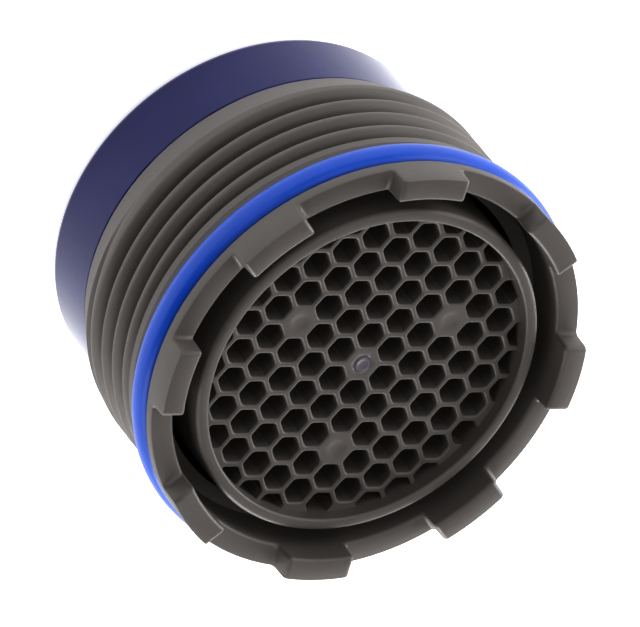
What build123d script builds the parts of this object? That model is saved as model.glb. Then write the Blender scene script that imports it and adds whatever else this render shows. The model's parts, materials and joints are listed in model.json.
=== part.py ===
from build123d import *
import math
import os

# Recessed tap aerator, standing on its inlet end with its outlet up.
# Millimetres, +Z towards the outlet, origin at the centre of the inlet seal's lower face.

# Barrel: a fine metric thread, M18.5 x 1, as the barrel of its crest diameter
thread_d = 18.4
thread_depth = 0.63
lead_in = 1.6
barrel_wall = 0.71

# Insert and the air gap round it
air_gap = 0.3
insert_wall = 0.54
seat_shoulder = 0.3
seat_depth = 0.8
seat_clearance = 0.05

# Outlet honeycomb
cell_pitch = 1.335
cell_wall = 0.27
honeycomb_height = 3.0
honeycomb_lip = 0.59
filled_cell_ring = 3

# Key crown, flange and the ring behind it
crown_gap = 0.91
crown_depth = 2.15
honeycomb_recess = 0.36
groove_wall = 0.25
flange_height = 0.58
tooth_count = 8
tooth_width = 3.1
tooth_height = 0.97
tooth_draft = 3.0
tooth_chamfer = 0.12
ring_depth = 0.91
ring_width = 1.3
ring_crown = 0.22
ring_crown_width = 0.6
ring_proud = 0.18
ring_seat_clearance = 0.01
ring_side_clearance = 0.03

# Inlet seal and sieve
seal_wall = 1.17
seal_edge_chamfer = 0.45
sieve_recess = 0.33
sieve_wall = 0.4
sieve_slot_width = 0.6
sieve_slot_count = 14
sieve_rib = 0.4
sieve_hub_d = 1.6
sieve_hub_slot_count = 3

# Flow regulator
regulator_ring_height = 0.9
regulator_ring_width = 1.2
regulator_core_d = 3.2
regulator_wall = 0.5
regulator_floor = 0.5
regulator_headroom = 0.2
regulator_ring_play = 0.1
regulator_cap_height = 0.3
regulator_lobe_count = 4
regulator_lobe_depth = 0.3
regulator_port_count = 3
regulator_port_width = 0.9
cap_spoke_width = 0.6
cap_spoke_count = 3

# Jet diffuser, air chamber and mixing grids
diffuser_wall = 1.35
diffuser_lip = 0.3
diffuser_flange_height = 0.6
plenum_height = 0.65
jet_plate_height = 0.8
jet_count = 8
jet_width = 0.5
jet_length = 1.6
jet_margin = 0.35
chamber_height = 1.72
window_count = 4
window_width = 5.0
window_margin = 0.25
grid_height = 0.9
grid_rim = 0.65
grid_bar = 0.6
grid_gap = 1.2
insert_clearance = 0.05

# Radii worked out from the thread inwards, then from the insert out to the crown
crest_r = thread_d / 2
root_r = crest_r - thread_depth
bore_r = root_r - barrel_wall
insert_r = bore_r - air_gap
outlet_r = insert_r - insert_wall
seat_r = bore_r + seat_shoulder
crown_bore_r = insert_r + crown_gap
groove_r = crown_bore_r + groove_wall
ring_r = groove_r + ring_seat_clearance + ring_depth
flange_r = ring_r - ring_proud
inner_r = outlet_r - insert_clearance
stack_r = outlet_r + diffuser_lip
mouth_r = stack_r + seat_clearance
seal_r = mouth_r + seal_wall
regulator_ring_r = regulator_core_d / 2 + regulator_ring_play
channel_r = regulator_ring_r + regulator_ring_width + regulator_ring_play
regulator_r = channel_r + regulator_wall
plenum_r = inner_r - diffuser_wall

# Heights worked out from the inlet seal's face towards the outlet
sieve_inside_z = sieve_recess + sieve_wall
cap_z = sieve_inside_z + regulator_headroom
channel_z = cap_z + regulator_cap_height
channel_floor_z = channel_z + regulator_ring_height + regulator_ring_play
stack_z = channel_floor_z + regulator_floor
rear_z = stack_z + diffuser_flange_height
seat_z = rear_z + seat_depth
plenum_z = rear_z + plenum_height
chamber_z = plenum_z + jet_plate_height
upper_grid_z = chamber_z + chamber_height
lower_grid_z = upper_grid_z + grid_height
honeycomb_z = lower_grid_z + grid_height
outlet_z = honeycomb_z + honeycomb_height
lip_z = outlet_z + honeycomb_lip
notch_z = outlet_z + honeycomb_recess
groove_top_z = notch_z - flange_height
groove_z = groove_top_z - ring_width - 2 * ring_side_clearance
crown_floor_z = notch_z - crown_depth
tooth_z = notch_z + tooth_height


def half_section(*corners):
    """The face that turns into a round solid, from its corners, each (radius, height)."""
    return make_face(Polyline(*[(r, 0, z) for r, z in corners], close=True))


def turned(*corners):
    """A solid turned about Z from the corners of its half section."""
    return revolve(half_section(*corners), Axis.Z)


def ring(outer_r, inner_r, low_z, high_z):
    """A plain tube about Z."""
    return turned((inner_r, low_z), (outer_r, low_z), (outer_r, high_z), (inner_r, high_z))


def disc(r, low_z, high_z):
    """A plain round plate about Z."""
    return Pos(0, 0, low_z) * Cylinder(r, high_z - low_z, align=(Align.CENTER, Align.CENTER, Align.MIN))


def around(count):
    """The turns that spread a count of copies evenly about Z."""
    return [Rot(0, 0, 360 * k / count) for k in range(count)]


def radial_bar(from_r, to_r, width, low_z, high_z):
    """A bar that runs outwards along X from one radius to another."""
    middle = ((from_r + to_r) / 2, 0, (low_z + high_z) / 2)
    return Pos(*middle) * Box(to_r - from_r, width, high_z - low_z)


def key_tooth():
    """One drafted tooth of the crown, on +X, with straight sides and its upper edges broken."""
    block = ring(flange_r, crown_bore_r, notch_z, tooth_z)
    block &= radial_bar(bore_r, ring_r, tooth_width, notch_z, tooth_z)
    faces = block.faces().filter_by(GeomType.PLANE).sort_by(Axis.Y)
    tooth = draft([faces[0], faces[-1]], Plane.XY.offset(notch_z), tooth_draft)
    return chamfer(tooth.faces().sort_by(Axis.Z)[-1].edges(), tooth_chamfer)


def housing():
    """Moulded sleeve: seat for the insert, thread barrel, ring groove, flange and key crown."""
    sleeve = turned(
        (seat_r, rear_z),
        (root_r, rear_z),
        (crest_r, rear_z + lead_in),
        (crest_r, groove_z),
        (groove_r, groove_z),
        (groove_r, groove_top_z),
        (flange_r, groove_top_z),
        (flange_r, notch_z),
        (crown_bore_r, notch_z),
        (crown_bore_r, crown_floor_z),
        (bore_r, crown_floor_z),
        (bore_r, seat_z),
        (seat_r, seat_z),
    )
    tooth = key_tooth()
    return sleeve + [turn * tooth for turn in around(tooth_count)]


def collar_o_ring():
    """Rubber ring squeezed flat in the groove behind the flange, crowned and a little proud outside."""
    foot_r = ring_r - ring_depth
    low_z = groove_z + ring_side_clearance
    high_z = low_z + ring_width
    slope = (ring_width - ring_crown_width) / 2
    return turned(
        (foot_r, low_z),
        (ring_r - ring_crown, low_z),
        (ring_r, low_z + slope),
        (ring_r, high_z - slope),
        (ring_r - ring_crown, high_z),
        (foot_r, high_z),
    )


def honeycomb_cells():
    """Sections of the open cells, those at the edge cut off by the rim."""
    apothem = (cell_pitch - cell_wall) / 2
    section = RegularPolygon(apothem, 6, major_radius=False, rotation=30)
    rim = Circle(outlet_r)
    n = filled_cell_ring
    filled = [(0, 0), (n, 0), (-n, n), (0, -n)]
    reach = math.ceil(2 * outlet_r / cell_pitch)
    steps = range(-reach, reach + 1)
    cells = []
    for i, j in [(i, j) for i in steps for j in steps if (i, j) not in filled]:
        x = cell_pitch * (i + j / 2)
        y = cell_pitch * j * math.sqrt(3) / 2
        if math.hypot(x, y) - apothem <= outlet_r - cell_wall:
            cells.append(Pos(x, y) * section & rim)
    return cells


def outlet_honeycomb():
    """Insert cup that hangs by its flange: rim, honeycomb outlet and the windows that draw in air."""
    cup = turned(
        (outlet_r, rear_z),
        (seat_r - seat_clearance, rear_z),
        (seat_r - seat_clearance, seat_z),
        (insert_r, seat_z),
        (insert_r, lip_z),
        (outlet_r, lip_z),
    )
    plate = extrude(Circle(outlet_r + insert_wall / 2) - honeycomb_cells(), honeycomb_height)
    cup += Pos(0, 0, honeycomb_z) * plate
    sill_z = chamber_z + window_margin
    window = radial_bar(outlet_r - insert_wall, bore_r, window_width, sill_z, upper_grid_z - window_margin)
    return cup - [turn * window for turn in around(window_count)]


def mixing_grid(low_z, turn_angle):
    """Round plate with parallel slots, which leave bars between them inside a rim."""
    open_r = inner_r - grid_rim
    pitch = grid_bar + grid_gap
    reach = math.floor((open_r - grid_gap / 2) / pitch)
    cuts = []
    for k in range(-reach, reach + 1):
        edge = abs(k) * pitch + grid_gap / 2
        length = 2 * math.sqrt(open_r ** 2 - edge ** 2)
        cuts.append(Pos(0, k * pitch, low_z + grid_height / 2) * Box(length, grid_gap, grid_height))
    return Rot(0, 0, turn_angle) * (disc(inner_r, low_z, low_z + grid_height) - cuts)


def jet_diffuser():
    """Flanged cup with a plenum and a ring of jet slots."""
    cup = turned(
        (0, plenum_z),
        (plenum_r, plenum_z),
        (plenum_r, stack_z),
        (stack_r, stack_z),
        (stack_r, rear_z),
        (inner_r, rear_z),
        (inner_r, chamber_z),
        (0, chamber_z),
    )
    jet_r = plenum_r - jet_margin
    jet = radial_bar(jet_r - jet_length, jet_r, jet_width, plenum_z, chamber_z)
    return cup - [turn * jet for turn in around(jet_count)]


def regulator_body():
    """Carrier of the flow limiter: flange, ring channel, ports and a lobed core."""
    core_r = regulator_core_d / 2
    flange_edge_r = stack_r - sieve_wall - insert_clearance
    body = turned(
        (channel_r, channel_z),
        (regulator_r, channel_z),
        (regulator_r, channel_floor_z),
        (flange_edge_r, channel_floor_z),
        (flange_edge_r, stack_z),
        (0, stack_z),
        (0, channel_z),
        (core_r, channel_z),
        (core_r, channel_floor_z),
        (channel_r, channel_floor_z),
    )
    groove = radial_bar(
        core_r - regulator_lobe_depth, core_r + regulator_ring_play / 2, regulator_lobe_depth, channel_z,
        channel_floor_z)
    port = radial_bar(core_r, channel_r, regulator_port_width, channel_floor_z, stack_z)
    body -= [turn * groove for turn in around(regulator_lobe_count)]
    return body - [turn * port for turn in around(regulator_port_count)]


def regulator_ring():
    """Elastic ring that narrows the channel as the water's pressure rises."""
    low_z = channel_floor_z - regulator_ring_height
    return ring(regulator_ring_r + regulator_ring_width, regulator_ring_r, low_z, channel_floor_z)


def regulator_cap():
    """Spoked cap on the channel's wall, which keeps the elastic ring in."""
    cap = ring(regulator_r, channel_r, cap_z, channel_z)
    spoke = radial_bar(0, channel_r + regulator_wall / 2, cap_spoke_width, cap_z, channel_z)
    return cap + [turn * spoke for turn in around(cap_spoke_count)]


def prefilter_screen():
    """Cup that stands on the diffuser over the regulator, with a slotted face towards the inlet."""
    inside_r = stack_r - sieve_wall
    cup = turned(
        (0, sieve_recess),
        (stack_r, sieve_recess),
        (stack_r, stack_z),
        (inside_r, stack_z),
        (inside_r, sieve_inside_z),
        (0, sieve_inside_z),
    )
    slot_start_r = sieve_slot_count * (sieve_slot_width + sieve_rib) / (2 * math.pi)
    slot = radial_bar(slot_start_r, inside_r - sieve_rib, sieve_slot_width, sieve_recess, sieve_inside_z)
    hub_slot = radial_bar(
        sieve_hub_d / 2, slot_start_r - sieve_rib, sieve_slot_width, sieve_recess, sieve_inside_z)
    slots = [turn * slot for turn in around(sieve_slot_count)]
    hub_slots = [turn * hub_slot for turn in around(sieve_hub_slot_count)]
    return cup - slots - hub_slots


def inlet_seal():
    """Rubber ring round the sieve, butted on the sleeve and the insert, which seals against the spout."""
    return turned(
        (mouth_r, 0),
        (seal_r - seal_edge_chamfer, 0),
        (seal_r, seal_edge_chamfer),
        (seal_r, rear_z),
        (mouth_r, rear_z),
    )


nodes = {
    "housing": housing(),
    "collar_o_ring": collar_o_ring(),
    "inlet_seal": inlet_seal(),
    "prefilter_screen": prefilter_screen(),
    "regulator_cap": regulator_cap(),
    "regulator_ring": regulator_ring(),
    "regulator_body": regulator_body(),
    "jet_diffuser": jet_diffuser(),
    "upper_mixing_grid": mixing_grid(upper_grid_z, 0),
    "lower_mixing_grid": mixing_grid(lower_grid_z, 90),
    "outlet_honeycomb": outlet_honeycomb(),
}

os.makedirs("parts", exist_ok=True)
for name, solid in nodes.items():
    export_step(solid, f"parts/{name}.step")
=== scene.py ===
import json
import math
import bmesh
import bpy
from mathutils import Matrix, Quaternion, Vector


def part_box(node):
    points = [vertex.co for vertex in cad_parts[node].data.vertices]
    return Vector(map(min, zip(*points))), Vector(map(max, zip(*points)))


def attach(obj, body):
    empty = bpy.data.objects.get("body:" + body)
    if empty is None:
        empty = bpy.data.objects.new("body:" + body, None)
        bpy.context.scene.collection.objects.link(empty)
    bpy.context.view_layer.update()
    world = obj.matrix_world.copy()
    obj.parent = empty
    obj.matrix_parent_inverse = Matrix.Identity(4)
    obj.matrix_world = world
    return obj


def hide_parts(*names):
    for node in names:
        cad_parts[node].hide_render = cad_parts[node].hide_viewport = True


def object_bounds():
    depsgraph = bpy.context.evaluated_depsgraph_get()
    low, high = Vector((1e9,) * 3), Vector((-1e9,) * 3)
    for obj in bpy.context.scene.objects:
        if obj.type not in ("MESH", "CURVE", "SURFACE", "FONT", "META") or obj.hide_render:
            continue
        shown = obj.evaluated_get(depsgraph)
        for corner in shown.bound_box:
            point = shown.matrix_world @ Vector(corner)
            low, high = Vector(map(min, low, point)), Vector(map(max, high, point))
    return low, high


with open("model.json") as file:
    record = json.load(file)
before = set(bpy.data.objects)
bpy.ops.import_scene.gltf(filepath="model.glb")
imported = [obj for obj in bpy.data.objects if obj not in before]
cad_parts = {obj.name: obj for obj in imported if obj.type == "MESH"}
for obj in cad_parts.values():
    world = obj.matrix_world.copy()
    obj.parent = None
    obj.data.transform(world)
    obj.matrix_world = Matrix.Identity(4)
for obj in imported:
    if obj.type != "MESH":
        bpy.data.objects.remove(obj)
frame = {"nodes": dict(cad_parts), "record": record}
cad_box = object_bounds()


# Sleeve
# The outer moulding, one piece of warm dark-grey plastic. Its fine right-hand thread screws into the
# spout, and a key turns it by the eight teeth that stand on its flange.
mm = 0.001
near = 0.001 * mm
weld = 0.0001 * mm
sleeve_low, sleeve_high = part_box("housing")
collar_low, collar_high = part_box("collar_o_ring")
insert_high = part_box("outlet_honeycomb")[1]
spout_thread = frame["record"]["mounts"][0]["dims"]

thread_pitch = 1.0 * mm
thread_depth = 0.63 * mm
thread_rows = 130
crest_r = spout_thread["r_mm"] * mm
root_r = crest_r - thread_depth
lead_in = 1.6 * mm
rear_z = sleeve_low.z
rear_round = 0.12 * mm

seat_clearance = 0.05 * mm
seat_shoulder = 0.3 * mm
seat_depth = 0.8 * mm
seat_r = insert_high.x + seat_clearance
seat_z = rear_z + seat_depth
bore_r = seat_r - seat_shoulder

collar_depth = 0.91 * mm
collar_side_clearance = 0.03 * mm
collar_seat_clearance = 0.01 * mm
collar_land = 0.84 * mm
groove_wall = 0.25 * mm
groove_round = 0.34 * mm
groove_r = collar_high.x - collar_depth - collar_seat_clearance
groove_z = collar_low.z - collar_side_clearance
groove_top_z = collar_high.z + collar_side_clearance

tooth_count = 8
tooth_width = 3.1 * mm
tooth_top_width = 3.0 * mm
tooth_height = 0.97 * mm
tooth_steps = 14
notch_steps = 18
tooth_period = 2 * math.pi / tooth_count
crown_steps = tooth_count * (tooth_steps + notch_steps)
crown_depth = 2.15 * mm
crown_bore_r = groove_r - groove_wall
flange_r = sleeve_high.x
notch_z = sleeve_high.z - tooth_height
crown_floor_z = notch_z - crown_depth
flange_round = 0.15 * mm
crown_round = 0.17 * mm
crown_rim = 0.06 * mm


def lathe(outline, steps):
    """A round shell about Z, spun from a closed outline of corners, each (radius, height)."""
    shell = bmesh.new()
    corners = [shell.verts.new((r, 0, z)) for r, z in outline]
    edges = [shell.edges.new(ends) for ends in zip(corners, corners[1:] + corners[:1])]
    bmesh.ops.spin(
        shell, geom=corners + edges, cent=(0, 0, 0), axis=(0, 0, 1), angle=2 * math.pi, steps=steps,
        use_merge=True)
    bmesh.ops.remove_doubles(shell, verts=shell.verts, dist=weld)
    bmesh.ops.recalc_face_normals(shell, faces=shell.faces)
    return shell


def radius(point):
    """The distance of a point from the Z axis."""
    return math.hypot(point.x, point.y)


def round_edges(shell, edges, width, segments):
    """Rounds edges off, over a width on each of their faces."""
    bmesh.ops.bevel(
        shell, geom=edges, offset=width, offset_type="OFFSET", affect="EDGES", segments=segments, profile=0.5,
        material=-1, clamp_overlap=True)


def ring_edges(shell, r, z):
    """The edges of the ring that has a radius and a height."""
    on_ring = {vert for vert in shell.verts if abs(radius(vert.co) - r) < near and abs(vert.co.z - z) < near}
    return [edge for edge in shell.edges if on_ring.issuperset(edge.verts)]


def from_nearest(point, count):
    """The angle to a point from the nearest of a count of like features, set evenly round Z from +X."""
    period = 2 * math.pi / count
    return (math.atan2(point.y, point.x) + period / 2) % period - period / 2


def crown_angle(step, r):
    """The angle of a step round the crown at a radius, with even steps on each tooth and in each notch."""
    tooth_angle = 2 * math.asin(tooth_width / 2 / r)
    turn, place = divmod(step, tooth_steps + notch_steps)
    along_tooth = tooth_angle * min(place, tooth_steps) / tooth_steps
    along_notch = (tooth_period - tooth_angle) * max(place - tooth_steps, 0) / notch_steps
    return turn * tooth_period - tooth_angle / 2 + along_tooth + along_notch


def crown_edges(on_outline):
    """The sharp edges of the teeth and notches, either those on the flange's outline or those within it."""
    sharp = math.radians(35)
    edges = []
    sleeve.normal_update()
    for edge in sleeve.edges:
        lowest = min(vert.co.z for vert in edge.verts)
        innermost = min(radius(vert.co) for vert in edge.verts)
        if lowest > notch_z - near and edge.calc_face_angle(0) > sharp:
            if (innermost > flange_r - near) == on_outline:
                edges.append(edge)
    return edges


def smooth(share):
    """A share that starts and ends gently, held between 0 and 1."""
    share = min(max(share, 0.0), 1.0)
    return share * share * (3 - 2 * share)


def barrel_radius(angle, z):
    """The barrel's radius at a place: a tapered lead-in, the thread cut into it, and a plain land."""
    start_angle = math.radians(222)
    start_z = rear_z + 1.4 * mm
    thread_turns = 4.08
    run_in = 0.35
    run_out = 0.2
    root_flat = 0.02
    flank = 0.47
    crest_roundness = 2.2
    land_edge = 0.08 * mm
    envelope = min(crest_r, root_r + thread_depth * (z - rear_z) / lead_in)
    turned = (angle - start_angle) / (2 * math.pi) % 1.0
    along = round((z - start_z) / thread_pitch - turned) + turned
    if along < 0:
        return envelope
    off = abs((z - start_z) / thread_pitch - along)
    climb = min(max((off - root_flat) / flank, 0.0), 1.0)
    cut = (1 - climb) ** crest_roundness
    fade = smooth(along / run_in) * (1 - smooth((along - thread_turns) / run_out))
    land = smooth((z - groove_z + collar_land) / land_edge)
    return min(envelope, crest_r - thread_depth * cut * fade * (1 - land))


sleeve = lathe(
    [(seat_r, rear_z), (root_r, rear_z), (crest_r, groove_z), (groove_r, groove_z), (groove_r, groove_top_z),
     (flange_r, groove_top_z), (flange_r, notch_z), (crown_bore_r, notch_z), (crown_bore_r, crown_floor_z),
     (bore_r, crown_floor_z), (bore_r, seat_z), (seat_r, seat_z)],
    crown_steps)
round_edges(sleeve, ring_edges(sleeve, root_r, rear_z), rear_round, segments=3)
round_edges(sleeve, ring_edges(sleeve, crest_r, groove_z), groove_round, segments=5)
round_edges(sleeve, ring_edges(sleeve, flange_r, groove_top_z), flange_round, segments=4)
for vert in sleeve.verts:
    step = round(math.atan2(vert.co.y, vert.co.x) * crown_steps / (2 * math.pi)) % crown_steps
    turn = crown_angle(step, radius(vert.co)) - step * 2 * math.pi / crown_steps
    vert.co = Matrix.Rotation(turn, 3, "Z") @ vert.co

tooth_feet = []
for face in sleeve.faces:
    middle = face.calc_center_median()
    off_centre = radius(middle) * math.sin(abs(from_nearest(middle, tooth_count)))
    if all(abs(vert.co.z - notch_z) < near for vert in face.verts) and off_centre < tooth_width / 2:
        tooth_feet.append(face)
raised = bmesh.ops.extrude_face_region(sleeve, geom=tooth_feet)["geom"]
bmesh.ops.delete(sleeve, geom=tooth_feet, context="FACES")
for vert in [item for item in raised if isinstance(item, bmesh.types.BMVert)]:
    foot_angle = from_nearest(vert.co, tooth_count)
    top_angle = math.asin(math.sin(foot_angle) * tooth_top_width / tooth_width)
    vert.co = Matrix.Rotation(top_angle - foot_angle, 3, "Z") @ vert.co + Vector((0, 0, tooth_height))
round_edges(sleeve, crown_edges(on_outline=False), crown_round, segments=4)
round_edges(sleeve, crown_edges(on_outline=True), crown_rim, segments=2)

barrel_low = rear_z + rear_round / 2
barrel_high = groove_z - groove_round + near
barrel_edges = [
    edge for edge in sleeve.edges
    if edge.calc_length() > (barrel_high - barrel_low) / 2
    and min(radius(vert.co) for vert in edge.verts) > seat_r + near]
bmesh.ops.subdivide_edges(sleeve, edges=barrel_edges, cuts=thread_rows, use_grid_fill=True)
for vert in sleeve.verts:
    if barrel_low < vert.co.z < barrel_high and radius(vert.co) > seat_r + rear_round:
        scale = barrel_radius(math.atan2(vert.co.y, vert.co.x), vert.co.z) / radius(vert.co)
        vert.co = (vert.co.x * scale, vert.co.y * scale, vert.co.z)


class Shade:
    """A socket of a node tree that takes part in sums: each operator adds a Math node behind it."""

    def __init__(self, tree, socket=None):
        self.tree = tree
        self.socket = socket

    def add(self, kind, settings, sockets, output=0):
        """Adds a node of a type, sets it up, fills or links its sockets, and gives one of its outputs."""
        node = self.tree.nodes.new(kind)
        for name, value in settings.items():
            setattr(node, name, value)
        for name, value in sockets.items():
            self.feed(node.inputs[name], value)
        return Shade(self.tree, node.outputs[output])

    def feed(self, entry, value):
        """Links another shade to a socket, or sets the socket to a value."""
        if isinstance(value, Shade):
            self.tree.links.new(value.socket, entry)
        else:
            entry.default_value = value

    def maths(self, operation, first, second):
        return self.add("ShaderNodeMath", {"operation": operation}, {0: first, 1: second})

    def __add__(self, other):
        return self.maths("ADD", self, other)

    def __radd__(self, other):
        return self.maths("ADD", other, self)

    def __sub__(self, other):
        return self.maths("SUBTRACT", self, other)

    def __rsub__(self, other):
        return self.maths("SUBTRACT", other, self)

    def __mul__(self, other):
        return self.maths("MULTIPLY", self, other)

    def __rmul__(self, other):
        return self.maths("MULTIPLY", other, self)

    def between(self, low, high):
        """A colour between two, by this share."""
        return self.add(
            "ShaderNodeMix", {"data_type": "RGBA"}, {0: self, 6: (*low, 1.0), 7: (*high, 1.0)}, 2)


def moulded(name, dark, light, roughness, grain_size, grain_height):
    """A moulded plastic: clouds of two tones, specks, a fine eroded grain and an uneven sheen."""
    cloud_size = 2.5 * mm
    cloud_share = 0.55
    cloud_sheen = 0.08
    grain_sheen = 0.1
    material = bpy.data.materials.new(name)
    material.use_nodes = True
    surface = material.node_tree.nodes["Principled BSDF"]
    start = Shade(material.node_tree)
    place = start.add("ShaderNodeTexCoord", {}, {}, "Object")
    cloud = start.add("ShaderNodeTexNoise", {}, {"Vector": place, "Scale": 1 / cloud_size, "Detail": 4.0})
    grain = start.add("ShaderNodeTexNoise", {}, {"Vector": place, "Scale": 1 / grain_size, "Detail": 2.0})
    tone = cloud_share * cloud + (1 - cloud_share) * grain
    sheen = cloud_sheen * (cloud - 0.5) + grain_sheen * (grain - 0.5)
    bump = start.add("ShaderNodeBump", {}, {"Strength": 1.0, "Distance": grain_height, "Height": grain})
    start.feed(surface.inputs["Base Color"], tone.between(dark, light))
    start.feed(surface.inputs["Roughness"], roughness + sheen)
    start.feed(surface.inputs["Normal"], bump)
    return material


def finish_piece(shell, name, materials, slot, *nodes):
    """Makes a finished piece of a shell, with smooth faces and even sheen, which stands for its nodes."""
    crease = math.radians(40)
    mesh = bpy.data.meshes.new(name)
    shell.to_mesh(mesh)
    shell.free()
    for material in materials:
        mesh.materials.append(material)
    mesh.shade_smooth()
    mesh.set_sharp_from_angle(angle=crease)
    piece = bpy.data.objects.new(name, mesh)
    bpy.context.scene.collection.objects.link(piece)
    sheen = piece.modifiers.new("even_sheen", "WEIGHTED_NORMAL")
    sheen.keep_sharp = True
    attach(piece, "root")
    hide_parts(*nodes)


grey_moulding = moulded(
    "grey_moulding", dark=(0.092, 0.083, 0.077), light=(0.138, 0.124, 0.115), roughness=0.48,
    grain_size=0.09 * mm, grain_height=0.004 * mm)
finish_piece(sleeve, "sleeve", [grey_moulding], "grey_moulding", "housing")


# Collar ring
# A bright-blue rubber O-ring, moulded in one piece and stretched over the flange into the groove
# behind it, where it holds the aerator steady in the spout.
collar_steps = 192
collar_segments = 32
collar_width = collar_high.z - collar_low.z
collar_shape = (
    Matrix.Translation((collar_high.x - collar_depth / 2, 0, (collar_low.z + collar_high.z) / 2))
    @ Matrix.Rotation(math.pi / 2, 4, "X") @ Matrix.Diagonal((collar_depth, collar_width, 1, 1)))
collar = bmesh.new()
bmesh.ops.create_circle(collar, segments=collar_segments, radius=0.5, matrix=collar_shape)
bmesh.ops.spin(
    collar, geom=collar.verts[:] + collar.edges[:], cent=(0, 0, 0), axis=(0, 0, 1), angle=2 * math.pi,
    steps=collar_steps, use_merge=True)
bmesh.ops.remove_doubles(collar, verts=collar.verts, dist=weld)
bmesh.ops.recalc_face_normals(collar, faces=collar.faces)


def rubber(name, dark, light, roughness, ior):
    """A moulded rubber: a soft uneven tone and sheen, and a very fine skin."""
    cloud_size = 1.6 * mm
    cloud_share = 0.7
    cloud_sheen = 0.1
    skin_size = 0.06 * mm
    skin_height = 0.002 * mm
    material = bpy.data.materials.new(name)
    material.use_nodes = True
    surface = material.node_tree.nodes["Principled BSDF"]
    surface.inputs["IOR"].default_value = ior
    start = Shade(material.node_tree)
    place = start.add("ShaderNodeTexCoord", {}, {}, "Object")
    cloud = start.add("ShaderNodeTexNoise", {}, {"Vector": place, "Scale": 1 / cloud_size, "Detail": 3.0})
    skin = start.add("ShaderNodeTexNoise", {}, {"Vector": place, "Scale": 1 / skin_size, "Detail": 2.0})
    tone = cloud_share * cloud + (1 - cloud_share) * skin
    bump = start.add("ShaderNodeBump", {}, {"Strength": 1.0, "Distance": skin_height, "Height": skin})
    start.feed(surface.inputs["Base Color"], tone.between(dark, light))
    start.feed(surface.inputs["Roughness"], roughness + cloud_sheen * (cloud - 0.5))
    start.feed(surface.inputs["Normal"], bump)
    return material


bright_blue_rubber = rubber(
    "bright_blue_rubber", dark=(0.005, 0.064, 0.4), light=(0.01, 0.097, 0.55), roughness=0.32, ior=1.45)
finish_piece(collar, "collar_ring", [bright_blue_rubber], "bright_blue_rubber", "collar_o_ring")


# Outlet insert
# A cup of the same grey plastic that hangs in the sleeve by its flange. Its honeycomb straightens the
# water, and four windows in its wall draw air from the gap round it.
cup_steps = 192
insert_wall = 0.54 * mm
crown_gap = 0.91 * mm
insert_r = crown_bore_r - crown_gap
outlet_r = insert_r - insert_wall
lip_z = insert_high.z
rim_round = 0.13 * mm
rim_shoulder = 0.22 * mm
window_count = 4
window_width = 5.0 * mm
window_margin = 0.25 * mm
window_half_angle = math.asin(window_width / 2 / insert_r)
sill_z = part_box("jet_diffuser")[1].z + window_margin
head_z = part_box("upper_mixing_grid")[0].z - window_margin
insert = lathe(
    [(outlet_r, rear_z), (insert_high.x, rear_z), (insert_high.x, seat_z), (insert_r, seat_z),
     (insert_r, sill_z), (insert_r, head_z), (insert_r, lip_z), (outlet_r, lip_z), (outlet_r, head_z),
     (outlet_r, sill_z)],
    cup_steps)
round_edges(insert, ring_edges(insert, insert_r, lip_z), rim_shoulder, segments=6)
round_edges(insert, ring_edges(insert, outlet_r, lip_z), rim_round, segments=4)
panes = []
for face in insert.faces:
    middle = face.calc_center_median()
    if sill_z < middle.z < head_z and abs(from_nearest(middle, window_count)) < window_half_angle:
        panes.append(face)
bmesh.ops.delete(insert, geom=panes, context="FACES")
for number in range(window_count):
    facing = Matrix.Rotation(2 * math.pi * number / window_count, 3, "Z") @ Vector((1, 0, 0))
    open_edges = [
        edge for edge in insert.edges if edge.is_boundary and edge.verts[0].co.dot(facing) > insert_r / 2]
    bmesh.ops.bridge_loops(insert, edges=open_edges)

honeycomb_lip = 0.59 * mm
honeycomb_height = 3.0 * mm
outlet_z = lip_z - honeycomb_lip
honeycomb_z = outlet_z - honeycomb_height
comb_r = outlet_r + insert_wall / 4
comb_sides = 96
cell_sides = 6
cell_pitch = 1.335 * mm
cell_wall = 0.27 * mm
cell_across = cell_pitch - cell_wall
cell_r = cell_across / math.sqrt(3)
cell_edge = 0.12 * mm
cut_edge = 0.05 * mm
cell_corner = 0.11 * mm
corner_angle = math.radians(35)
mouth_angle = math.radians(60)
filled_ring = 3
filled_places = [(0, 0), (filled_ring, 0), (-filled_ring, filled_ring), (0, -filled_ring)]
mark_sides = 24
gate_r = 0.45 * mm
gate_steps = [(0.05, -0.04), (0.06, -0.01), (0.03, 0.06), (0.04, 0.01), (0.06, -0.025), (0.08, -0.02)]
gate_slot = 1
sink_r = 0.46 * mm
sink_steps = [(0.1, -0.02), (0.1, -0.02), (0.1, -0.01)]
comb = bmesh.new()


def flat_disc(centre, r, sides):
    """Adds a flat many-sided face to the honeycomb."""
    ring = bmesh.ops.create_circle(
        comb, cap_ends=True, segments=sides, radius=r, matrix=Matrix.Translation(centre))["verts"]
    return ring[0].link_faces[0]


def stamp(tile, centre, r, steps):
    """Puts a round mark in a filled cell. Each step goes inwards by a width and up by a rise, in mm."""
    corners = tile.edges[:]
    bmesh.ops.delete(comb, geom=[tile], context="FACES_ONLY")
    disc = flat_disc(centre, r, mark_sides)
    bmesh.ops.bridge_loops(comb, edges=corners + disc.edges[:])
    disc.normal_update()
    up = math.copysign(mm, disc.normal.z)
    for width, rise in steps:
        bmesh.ops.inset_individual(comb, faces=[disc], thickness=width * mm, depth=rise * up)


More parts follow.
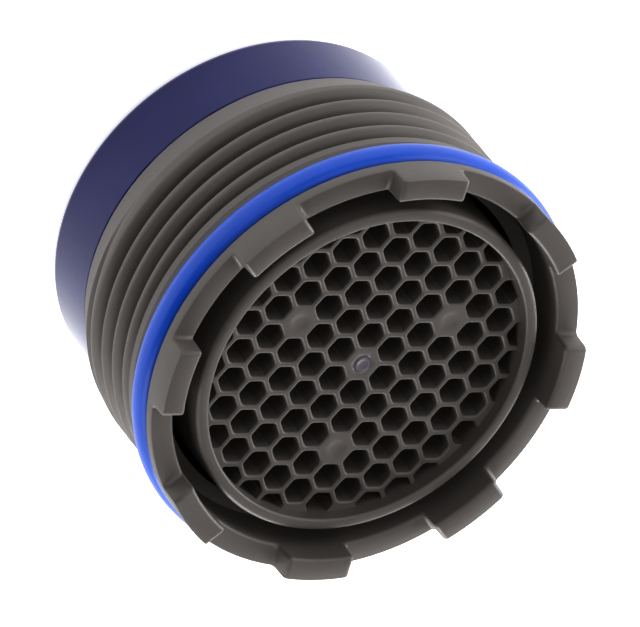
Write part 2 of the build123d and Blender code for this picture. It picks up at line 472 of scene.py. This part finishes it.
reach = math.ceil(2 * outlet_r / cell_pitch)
lattice = [(i, j) for i in range(-reach, reach + 1) for j in range(-reach, reach + 1)]
mouths = []
whole_cells = []
for i, j in lattice:
    centre = Vector((cell_pitch * (i + j / 2), cell_pitch * j * math.sqrt(3) / 2, outlet_z))
    if radius(centre) > outlet_r + cell_pitch:
        continue
    tile = flat_disc(centre, cell_pitch / math.sqrt(3), cell_sides)
    bmesh.ops.inset_individual(comb, faces=[tile], thickness=cell_wall / 2)
    if (i, j) == (0, 0):
        stamp(tile, centre, gate_r, gate_steps)
    elif (i, j) in filled_places:
        stamp(tile, centre, sink_r, sink_steps)
    elif radius(centre) - cell_across / 2 <= outlet_r - cell_wall:
        mouths.append(tile)
        if radius(centre) + cell_r < outlet_r - cell_edge:
            whole_cells.append(centre)
bmesh.ops.delete(comb, geom=mouths, context="FACES_ONLY")
bmesh.ops.remove_doubles(comb, verts=comb.verts, dist=near)
for side in range(comb_sides):
    outwards = Matrix.Rotation(2 * math.pi * side / comb_sides, 3, "Z") @ Vector((1, 0, 0))
    bmesh.ops.bisect_plane(
        comb, geom=comb.verts[:] + comb.edges[:] + comb.faces[:], dist=weld / 10, plane_co=outwards * comb_r,
        plane_no=outwards, clear_outer=True)

drawn = bmesh.ops.extrude_face_region(comb, geom=comb.faces[:], use_keep_orig=True)["geom"]
for vert in [item for item in drawn if isinstance(item, bmesh.types.BMVert)]:
    vert.co.z = honeycomb_z
bmesh.ops.remove_doubles(comb, verts=comb.verts, dist=weld)
bmesh.ops.dissolve_degenerate(comb, edges=comb.edges, dist=weld)
bmesh.ops.recalc_face_normals(comb, faces=comb.faces)
cell_corners = [
    edge for edge in comb.edges
    if edge.calc_length() > honeycomb_height / 2 and edge.calc_face_angle(0) > corner_angle
    and radius(edge.verts[0].co) < outlet_r - cell_wall]
round_edges(comb, cell_corners, cell_corner, segments=3)
mouth_edges = [
    edge for edge in comb.edges
    if min(vert.co.z for vert in edge.verts) > outlet_z - near and edge.calc_face_angle(0) > mouth_angle
    and min(radius(vert.co) for vert in edge.verts) < comb_r - near]
whole_edges = []
cut_edges = []
for edge in mouth_edges:
    on_whole_cell = any((edge.verts[0].co - centre).length < cell_pitch / 2 for centre in whole_cells)
    (whole_edges if on_whole_cell else cut_edges).append(edge)
round_edges(comb, whole_edges, cell_edge, segments=3)
round_edges(comb, [edge for edge in cut_edges if edge.is_valid], cut_edge, segments=2)
for face in comb.faces:
    middle = face.calc_center_median()
    if radius(middle) < gate_r and middle.z > outlet_z - cell_edge:
        face.material_index = gate_slot
comb_mesh = bpy.data.meshes.new("honeycomb")
comb.to_mesh(comb_mesh)
comb.free()
insert.from_mesh(comb_mesh)
bpy.data.meshes.remove(comb_mesh)
# The gate mark's paler, violet-grey base colour is a painted sheen; its lower roughness gives it a real
# gloss.
gate_painted_sheen = moulded(
    "gate_painted_sheen", dark=(0.125, 0.117, 0.135), light=(0.18, 0.168, 0.19), roughness=0.22,
    grain_size=0.09 * mm, grain_height=0.002 * mm)
finish_piece(insert, "outlet_insert", [grey_moulding, gate_painted_sheen], "grey_moulding", "outlet_honeycomb")


# Mixing grids
# Two slotted plates of the grey plastic, laid crosswise on the honeycomb, which break up the jets and
# mix the air in.
def finish_node(name, material):
    """Gives its finish to a piece that is shown as it was built."""
    slots = frame["nodes"][name].data.materials
    slots.clear()
    slots.append(material)


finish_node("lower_mixing_grid", grey_moulding)
finish_node("upper_mixing_grid", grey_moulding)


# Jet diffuser
# A cup of black plastic, moulded in one piece and laid on the insert's flange, whose ring of slots turns
# the water into jets.
black_moulding = moulded(
    "black_moulding", dark=(0.014, 0.014, 0.014), light=(0.026, 0.026, 0.026), roughness=0.48,
    grain_size=0.1 * mm, grain_height=0.004 * mm)
finish_node("jet_diffuser", black_moulding)


# Flow regulator
# A natural-coloured carrier and its spoked cap, with a black elastic ring loose in the channel between
# them, which narrows the flow as the pressure rises.
pale_moulding = moulded(
    "pale_moulding", dark=(0.55, 0.55, 0.525), light=(0.66, 0.66, 0.64), roughness=0.38,
    grain_size=0.12 * mm, grain_height=0.003 * mm)
black_rubber = rubber(
    "black_rubber", dark=(0.011, 0.011, 0.011), light=(0.02, 0.02, 0.02), roughness=0.55, ior=1.5)
finish_node("regulator_body", pale_moulding)
finish_node("regulator_cap", pale_moulding)
finish_node("regulator_ring", black_rubber)


# Sieve
# A cup of the natural-coloured plastic over the regulator, whose fine slots keep grit out of the jets.
# It is moulded with soft edges, so that nothing catches on its ribs.
sieve_round = 0.05 * mm
flat_angle = math.radians(1)
rib_angle = math.radians(50)
sieve = bmesh.new()
sieve.from_mesh(frame["nodes"]["prefilter_screen"].data)
bmesh.ops.remove_doubles(sieve, verts=sieve.verts, dist=weld)
bmesh.ops.dissolve_limit(sieve, angle_limit=flat_angle, verts=sieve.verts, edges=sieve.edges)
rib_edges = [edge for edge in sieve.edges if edge.calc_face_angle(0) > rib_angle]
round_edges(sieve, rib_edges, sieve_round, segments=3)
finish_piece(sieve, "sieve", [pale_moulding], "pale_moulding", "prefilter_screen")


# Inlet seal
# A dark-blue rubber ring with a glossy skin, pushed over the sieve on the inlet end, which seals against
# the shoulder in the spout.
seal_low, seal_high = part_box("inlet_seal")
seal_steps = 192
seal_wall = 1.17 * mm
seal_round = 0.45 * mm
seal_edge = 0.1 * mm
mouth_r = seal_high.x - seal_wall
seal = lathe(
    [(mouth_r, seal_low.z), (seal_high.x, seal_low.z), (seal_high.x, seal_high.z), (mouth_r, seal_high.z)],
    seal_steps)
round_edges(seal, ring_edges(seal, seal_high.x, seal_low.z), seal_round, segments=8)
round_edges(seal, ring_edges(seal, seal_high.x, seal_high.z), seal_edge, segments=3)
round_edges(seal, ring_edges(seal, mouth_r, seal_low.z), seal_edge, segments=3)
dark_blue_rubber = rubber(
    "dark_blue_rubber", dark=(0.006, 0.007, 0.08), light=(0.01, 0.012, 0.13), roughness=0.12, ior=1.2)
seal_surface = dark_blue_rubber.node_tree.nodes["Principled BSDF"]
seal_surface.inputs["Coat Weight"].default_value = 1.0
seal_surface.inputs["Coat IOR"].default_value = 1.33
seal_surface.inputs["Coat Roughness"].default_value = 0.08
finish_piece(seal, "seal_ring", [dark_blue_rubber], "dark_blue_rubber", "inlet_seal")


# Table
# A plain white table top just under the seal, made of one sheet. It glows a little, so that the ground
# shows as pure white.
table_size = 3.0
table_gap = 0.02 * mm
table = bmesh.new()
bmesh.ops.create_grid(
    table, x_segments=1, y_segments=1, size=table_size / 2,
    matrix=Matrix.Translation((0, 0, cad_box[0].z - table_gap)))
table_mesh = bpy.data.meshes.new("table")
table.to_mesh(table_mesh)
table.free()
table_white = bpy.data.materials.new("table_white")
table_white.use_nodes = True
white_surface = table_white.node_tree.nodes["Principled BSDF"]
white_surface.inputs["Base Color"].default_value = (0.9, 0.9, 0.9, 1.0)
white_surface.inputs["Roughness"].default_value = 0.8
white_surface.inputs["Emission Color"].default_value = (1.0, 1.0, 1.0, 1.0)
white_surface.inputs["Emission Strength"].default_value = 0.7
table_mesh.materials.append(table_white)
table_top = bpy.data.objects.new("table", table_mesh)
bpy.context.scene.collection.objects.link(table_top)


# Light
# Nine soft square panels all round, the strongest low behind the object, in a nearly dark room. The
# picture is developed with a camera's contrast.
room = bpy.data.worlds.new("room")
room.use_nodes = True
room.node_tree.nodes["Background"].inputs["Color"].default_value = (1.0, 1.0, 1.0, 1.0)
room.node_tree.nodes["Background"].inputs["Strength"].default_value = 0.02
bpy.context.scene.world = room
bpy.context.scene.view_settings.view_transform = "Standard"
bpy.context.scene.view_settings.gamma = 0.74
object_middle = (cad_box[0] + cad_box[1]) / 2
view_turn = -42.79


def direction(turn, elevation):
    """The direction away from the object that is turned from -Y and raised by degrees."""
    azimuth = math.radians(turn)
    rise = math.radians(elevation)
    return Vector((math.sin(azimuth) * math.cos(rise), -math.cos(azimuth) * math.cos(rise), math.sin(rise)))


def soft_light(name, turn, elevation, power):
    """A square panel that faces the object's middle, turned from the camera's side and raised by degrees."""
    panel_size = 0.2
    panel_distance = 0.35
    outwards = direction(view_turn + turn, elevation)
    panel = bpy.data.lights.new(name, "AREA")
    panel.size = panel_size
    panel.energy = power
    light = bpy.data.objects.new(name, panel)
    light.location = object_middle + outwards * panel_distance
    light.rotation_euler = (-outwards).to_track_quat("-Z", "Y").to_euler()
    bpy.context.scene.collection.objects.link(light)


soft_light("top", turn=345, elevation=76, power=0.38)
soft_light("front", turn=0, elevation=18, power=0.18)
soft_light("fill", turn=315, elevation=30, power=0.18)
soft_light("right", turn=90, elevation=20, power=0.46)
soft_light("left", turn=270, elevation=20, power=0.44)
soft_light("upper_left", turn=270, elevation=60, power=0.21)
soft_light("back", turn=180, elevation=12, power=0.5)
soft_light("back_right", turn=135, elevation=12, power=1.6)
soft_light("back_left", turn=225, elevation=12, power=1.3)


# Camera
# A long lens above the outlet, rolled about its axis until the object leans as it does in the
# photograph.
view_elevation = 47.02
view_roll = math.radians(141.08)
view_distance = 480 * mm
view_target = Vector((-1.291, -1.46, 9.51)) * mm
back = direction(view_turn, view_elevation)
lens = bpy.data.cameras.new("camera")
lens.sensor_width = 36.0
lens.lens = 676.0
lens.clip_start = 0.01
lens.clip_end = 10.0
camera = bpy.data.objects.new("camera", lens)
camera.rotation_mode = "QUATERNION"
camera.location = view_target + back * view_distance
camera.rotation_quaternion = (-back).to_track_quat("-Z", "Y") @ Quaternion((0, 0, 1), view_roll)
bpy.context.scene.collection.objects.link(camera)
bpy.context.scene.camera = camera
